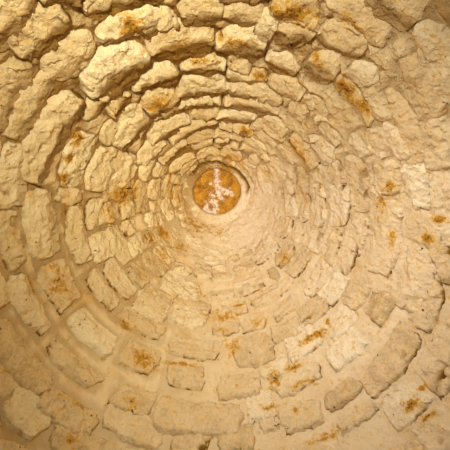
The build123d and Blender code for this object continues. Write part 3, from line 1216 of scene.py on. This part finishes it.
def stained_and_shaded(f, colour, shade_paint):
    """A colour with the golden tint of its side, rust where it is kept, painted shade in its
    hollows, and painted shadow lines where that shade is deepest.
    """
    colour = f.mixed(f.kept("golden"), colour, GOLDEN_TINT, "MULTIPLY")
    ragged = (f.clouds(0.04, 9.0, 0.82) - 0.5) * 4.5
    broken = f.kept("rust") + ragged
    colour = f.mixed(f.eased(broken, 0.15, 0.50) * 0.8, colour, chosen().stain)
    colour = f.mixed(f.eased(broken, 0.50, 0.68) * 0.95, colour, chosen().rust)
    specks = (f.clouds(0.016, 6.0, 0.85) - 0.5) * 4.0
    colour = f.mixed(f.eased(f.kept("rust") + specks, 0.92, 1.12), colour, chosen().old_rust)
    # Painted shade in the hollows, in the colour set for it
    colour = f.mixed(f.kept("painted_shade") * shade_paint, colour, chosen().shade_paint)
    # Painted shadow lines where the painted shade is deepest
    return f.mixed(f.eased(f.kept("painted_shade"), 1.0, 1.5), colour, SHADOW_LINE_BROWN)


def limestone():
    """Hewn limestone of the vault: mottled, pitted, rust in patches, lime near the joints, and
    painted shade in its pits and hollows.
    """
    f = Finish("hewn limestone")
    broad = f.clouds(0.08, 6.0, 0.7)
    fine = f.clouds(0.014, 8.0, 0.82)
    light = f.kept("tone") * 1.2 - 0.12 + (broad - 0.5) * 1.4 + (fine - 0.5) * 1.7
    light = light + (1 - f.kept("golden")) * 0.08
    colour = f.mixed(f.eased(light, -0.1, 0.4), chosen().dark_limestone, chosen().limestone)
    colour = f.mixed(f.eased(light, 0.35, 1.0), colour, chosen().pale_limestone)
    colour = f.blotched(colour, chosen().stain, 0.4, (0.13, 8.0, 0.75), 0.54, 0.66)
    washed = (f.clouds(0.09, 7.0, 0.75) - 0.5) * (1.15 - f.kept("golden")) * 5.0
    limed = f.eased(f.kept("limed") + washed + (f.clouds(0.02, 5.0, 0.7) - 0.5), 0.3, 0.8)
    lime = f.mixed(f.kept("crown"), chosen().pale_mortar, chosen().crown_plaster)
    colour = f.mixed(limed * 0.9, colour, lime)
    colour = stained_and_shaded(f, colour, 0.95)
    # Pits: dented by the bump and painted dark as shade
    pits = f.eased(f.clouds(0.026, 2.0, 0.4), 0.735, 0.775)
    colour = f.mixed(pits * 0.8, colour, PIT_SHADE)
    coarse = f.clouds(0.055, 4.0, 0.56) + f.clouds(0.012, 3.0, 0.6) * 0.12
    return f.finish(colour, 0.88, coarse * 1.5 - pits * 0.3, 0.020)


def mortar():
    """Lime mortar, smoothed by hand, sandy and patchy, craggy where it is packing, and painted with
    shade in its narrow joints.
    """
    f = Finish("lime mortar")
    patch = f.clouds(0.16, 5.0, 0.65)
    limy = patch + (1 - f.kept("golden")) * 0.15
    colour = f.mixed(f.eased(limy, 0.38, 0.62), chosen().mortar, chosen().pale_mortar)
    colour = f.mixed(f.kept("crown"), colour, chosen().crown_plaster)
    colour = f.blotched(colour, chosen().stain, 0.4, (0.18, 8.0, 0.72), 0.54, 0.68)
    colour = f.blotched(colour, chosen().dark_limestone, 0.3, (0.006, 4.0, 0.8), 0.45, 0.8)
    colour = stained_and_shaded(f, colour, 0.9)
    chipped = f.clouds(0.06, 4.0, 0.56)
    height = chipped * (0.6 + f.kept("craggy") * 1.6) + f.clouds(0.014, 3.0, 0.6) * 0.1
    return f.finish(colour, 0.9, height, 0.020)


def closing_limestone():
    """Limestone of the closing stone, soaked with rust but for pale scars."""
    f = Finish("rusted closing stone")
    broad = f.clouds(0.07, 8.0, 0.72)
    fine = f.clouds(0.014, 7.0, 0.75)
    colour = f.mixed(f.eased(broad, 0.38, 0.62), RUSTY_BROWN, RUSTY_OCHRE)
    colour = f.mixed(f.eased(fine, 0.50, 0.72) * 0.7, colour, RUSTY_CREAM)
    colour = f.blotched(colour, RUSTY_DARK, 0.7, (0.03, 6.0, 0.7), 0.56, 0.68)
    ragged = (f.clouds(0.026, 8.0, 0.85) - 0.5) * 5.0
    scar = f.eased(f.kept("scarred") + ragged, 0.62, 0.74)
    colour = f.mixed(scar * 0.95, colour, SCAR_PALE)
    colour = f.blotched(colour, CHIP_PALE, 0.8, (0.018, 4.0, 0.6), 0.66, 0.70)
    return f.finish(colour, 0.85, broad + fine * 0.3 + scar * 0.1, 0.010)


def roof_limestone():
    """Split limestone slabs, greyed by weather, with dark, pale and yellow lichen."""
    f = Finish("weathered roof slabs")
    broad = f.clouds(0.5, 4.0)
    fine = f.clouds(0.03, 8.0, 0.75)
    light = f.kept("tone") * 0.7 + (fine - 0.5) * 1.2 + (broad - 0.5) * 0.8
    colour = f.mixed(f.eased(light, -0.1, 0.8), chosen().dark_slab, chosen().pale_slab)
    colour = f.blotched(colour, DARK_LICHEN, 0.75, (0.11, 8.0, 0.75), 0.54, 0.70)
    colour = f.blotched(colour, PALE_LICHEN, 0.7, (0.07, 7.0, 0.75, (1.1, 0.9, 1.3)), 0.60, 0.70)
    colour = f.blotched(colour, YELLOW_LICHEN, 0.5, (0.16, 7.0, 0.75, (0.9, 1.2, 1.0)), 0.62, 0.72)
    return f.finish(colour, 0.92, f.clouds(0.04, 9.0, 0.75), 0.012)


def pinnacle_limestone():
    """Dressed stone with many coats of limewash, worn thin."""
    f = Finish("limewashed stone")
    colour = f.blotched(chosen().limewash, BARE_STONE, 0.8, (0.07, 6.0, 0.7), 0.58, 0.72)
    return f.finish(colour, 0.85, f.clouds(0.03, 7.0, 0.65), 0.003)


def rubble():
    """Small stones and earth of the rubble core."""
    f = Finish("rubble and earth")
    colour = f.mixed(f.cells(0.07, "Color"), DARK_RUBBLE, PALE_RUBBLE)
    colour = f.mixed(f.eased(f.cells(0.07), 0.35, 0.6), colour, EARTH)
    return f.finish(colour, 0.95, f.cells(0.07) * -1.0, 0.01)


# Stage

FLOOR_SIZE = 60
WORLD_COLOUR = (0.9, 0.92, 0.95)
WORLD_STRENGTH = 0.62

# A lamp: its kind, where it stands and points, its watts, its size, and a spot's angle
# in radians. The first is outside, and the others are inside the room.
Lamp = namedtuple("Lamp", "name kind place aim power size angle", defaults=(0.0,))

LOW_STAND = (0.20, 0.95, 0.45)
HIGH_STAND = (0.10, 0.90, 1.50)
LAMPS = (
    Lamp("sky_panel", "AREA", (-9, -10, 14), (0, 0, 1.5), 2000, 9),
    Lamp("wall_lamp", "SPOT", LOW_STAND, (0.05, 0.16, 3.05), 147, 0.05, 1.65),
    Lamp("crown_lamp", "SPOT", LOW_STAND, (0.05, -0.02, 3.20), 84, 0.05, 0.90),
    Lamp("far_lamp", "SPOT", HIGH_STAND, (-0.95, -1.38, 1.40), 70, 0.05, 2.20),
    Lamp("crown_fill", "SPOT", (0.10, -0.05, 0.30), (0.08, 0.06, 3.05), 168, 0.25, 0.58),
    Lamp("room_fill", "AREA", (0, 0, 0.05), (0, 0, 3), 0.8, 1.6),
)


def aim_eye():
    """Directions of the eye that put the closing stone's middle on its pixel."""
    lean_x = lean_y = 0.0
    crown = Vector((0, 0, VAULT_RISE)) - EYE
    for _ in range(AIM_ROUNDS):
        forward = Vector((lean_x, lean_y, 1)).normalized()
        right = forward.cross(Vector((0, 1, 0))).normalized()
        up = right.cross(forward)
        ahead = crown.dot(forward)
        x = PICTURE_PIXELS / 2 + EYE_FOCAL_PIXELS * crown.dot(right) / ahead
        y = PICTURE_PIXELS / 2 - EYE_FOCAL_PIXELS * crown.dot(up) / ahead
        lean_x += (CROWN_PIXEL[0] - x) / EYE_FOCAL_PIXELS
        lean_y += (CROWN_PIXEL[1] - y) / EYE_FOCAL_PIXELS
    return right, up, -forward


def make_camera():
    """Camera low in the room, looking up at the closing stone."""
    data = bpy.data.cameras.new("camera")
    data.sensor_width = SENSOR_WIDTH
    data.lens = EYE_FOCAL_PIXELS / PICTURE_PIXELS * SENSOR_WIDTH
    data.clip_start = 0.02
    camera = placed("camera", data)
    camera.matrix_world = Matrix.Translation(EYE) @ Matrix(aim_eye()).transposed().to_4x4()
    bpy.context.scene.camera = camera


def hang(lamp):
    """Adds a lamp that the camera doesn't see."""
    data = bpy.data.lights.new(lamp.name, lamp.kind)
    data.energy = lamp.power
    if lamp.kind == "AREA":
        data.shape = "DISK"
        data.size = lamp.size
    else:
        data.shadow_soft_size = lamp.size
        data.spot_size = lamp.angle
        data.spot_blend = 1.0
    light = placed(lamp.name, data)
    place, aim = Vector(lamp.place), Vector(lamp.aim)
    facing = (aim - place).to_track_quat("-Z", "Y").to_matrix().to_4x4()
    light.matrix_world = Matrix.Translation(place) @ facing
    light.visible_camera = False


def make_stage():
    """Pale floor and world, soft light outside, and the lamps inside the room."""
    scene = bpy.context.scene
    scene.view_settings.view_transform = "Standard"
    bm = bmesh.new()
    bmesh.ops.create_grid(bm, x_segments=2, y_segments=2, size=FLOOR_SIZE)
    floor = placed("floor", mesh_from("floor", bm))
    floor.data.materials.append(Finish("pale floor").finish(FLOOR_COLOUR, 0.9))
    world = bpy.data.worlds.new("world")
    scene.world = world
    world.use_nodes = True
    colour, strength = world.node_tree.nodes["Background"].inputs[:2]
    colour.default_value = (*WORLD_COLOUR, 1)
    strength.default_value = WORLD_STRENGTH
    for lamp in LAMPS:
        hang(lamp)


# Operators


def length_setting(name, description, default, least):
    """A length in metres that a user can set."""
    return FloatProperty(
        name=name,
        description=description,
        default=default,
        min=least,
        subtype="DISTANCE",
        unit="LENGTH",
    )


def colour_setting(name, description, *default):
    """A colour that a user can set, with its default given as 0 to 255."""
    return FloatVectorProperty(
        name=name,
        description=description,
        default=srgb(*default),
        min=0,
        max=1,
        subtype="COLOR",
    )


class TrulloSettings(bpy.types.PropertyGroup):
    """Sizes and colours that a user would change."""

    stone_cell: length_setting(
        "Stone cell", "Size of the cells that the vault's stones are cut with", 0.007, 0.004
    )
    relief: length_setting(
        "Relief of stones", "Depth of the roughest part of a stone's face", 0.008, 0.0
    )
    slab_length: length_setting("Slab length", "Usual length of the roof's slabs", 0.31, 0.15)
    eaves_length: length_setting(
        "Eaves slab length", "Usual length of the slabs at the eaves", 0.46, 0.2
    )
    limestone: colour_setting("Limestone", "Main colour of the vault's stones", 222, 194, 151)
    dark_limestone: colour_setting(
        "Dark limestone", "Colour of the darkest stones of the vault", 192, 163, 116
    )
    pale_limestone: colour_setting(
        "Pale limestone", "Colour of the palest stones of the vault", 238, 219, 184
    )
    mortar: colour_setting("Mortar", "Main colour of the mortar", 222, 188, 141)
    pale_mortar: colour_setting(
        "Pale mortar", "Colour of the mortar where it has more lime", 230, 206, 166
    )
    crown_plaster: colour_setting(
        "Crown plaster", "Colour of the plaster round the crown", 243, 220, 184
    )
    stain: colour_setting("Golden stain", "Colour of the faint stains round the rust", 218, 172, 86)
    rust: colour_setting("Rust", "Colour of the rust on the vault", 184, 130, 28)
    old_rust: colour_setting(
        "Old rust", "Colour of the specks where the rust is thickest", 104, 66, 8
    )
    # Colour that shade is painted with in the hollows
    shade_paint: colour_setting("Grime", "Colour of the grime in the hollows", 134, 94, 22)
    dark_slab: colour_setting("Dark slabs", "Colour of the darkest roof slabs", 124, 117, 104)
    pale_slab: colour_setting("Pale slabs", "Colour of the palest roof slabs", 184, 176, 158)
    limewash: colour_setting(
        "Limewash", "Colour of the limewash on the cap and the pinnacle", 222, 217, 204
    )


class DressVault(bpy.types.Operator):
    """Make the vault's stones and the mortar between them"""

    bl_idname = "trullo.dress_vault"
    bl_label = "Dress vault"

    def execute(self, context):
        courses = lay_vault()
        stone = limestone()
        for number, (stones, chance) in enumerate(courses, 1):
            make_course(number, stones, chance, stone)
        make_pointing(courses, mortar())
        return {"FINISHED"}


class DressClosingStone(bpy.types.Operator):
    """Make the closing stone at the crown"""

    bl_idname = "trullo.dress_closing_stone"
    bl_label = "Dress closing stone"

    def execute(self, context):
        make_closing_stone(closing_limestone())
        return {"FINISHED"}


class DressRoof(bpy.types.Operator):
    """Make the roof's slabs, and finish its eaves, cap and pinnacle"""

    bl_idname = "trullo.dress_roof"
    bl_label = "Dress roof"

    def execute(self, context):
        slabs = roof_limestone()
        for number in range(len(BAND_NODES)):
            make_roof_band(number, slabs)
        make_eaves(slabs)
        washed = pinnacle_limestone()
        make_cap(washed)
        make_pinnacle(washed)
        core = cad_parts["rubble_core"]
        core.data.materials.clear()
        core.data.materials.append(rubble())
        return {"FINISHED"}


class BuildStage(bpy.types.Operator):
    """Make the floor, the lights and the camera"""

    bl_idname = "trullo.build_stage"
    bl_label = "Build stage"

    def execute(self, context):
        make_camera()
        make_stage()
        return {"FINISHED"}


class TrulloPanel(bpy.types.Panel):
    """Lists the settings and the steps in the sidebar."""

    bl_idname = "VIEW3D_PT_trullo"
    bl_label = "Trullo"
    bl_space_type = "VIEW_3D"
    bl_region_type = "UI"
    bl_category = "Trullo"

    def draw(self, context):
        for name in TrulloSettings.__annotations__:
            self.layout.prop(context.scene.trullo, name)
        for step in STEPS:
            self.layout.operator(step.bl_idname)


STEPS = (DressVault, DressClosingStone, DressRoof, BuildStage)
CLASSES = (TrulloSettings, *STEPS, TrulloPanel)


def register():
    for item in CLASSES:
        bpy.utils.register_class(item)
    bpy.types.Scene.trullo = PointerProperty(type=TrulloSettings)


def unregister():
    del bpy.types.Scene.trullo
    for item in reversed(CLASSES):
        bpy.utils.unregister_class(item)


def main():
    """Build everything."""
    register()
    bpy.ops.trullo.dress_vault()
    bpy.ops.trullo.dress_closing_stone()
    bpy.ops.trullo.dress_roof()
    bpy.ops.trullo.build_stage()


if __name__ == "__main__":
    main()
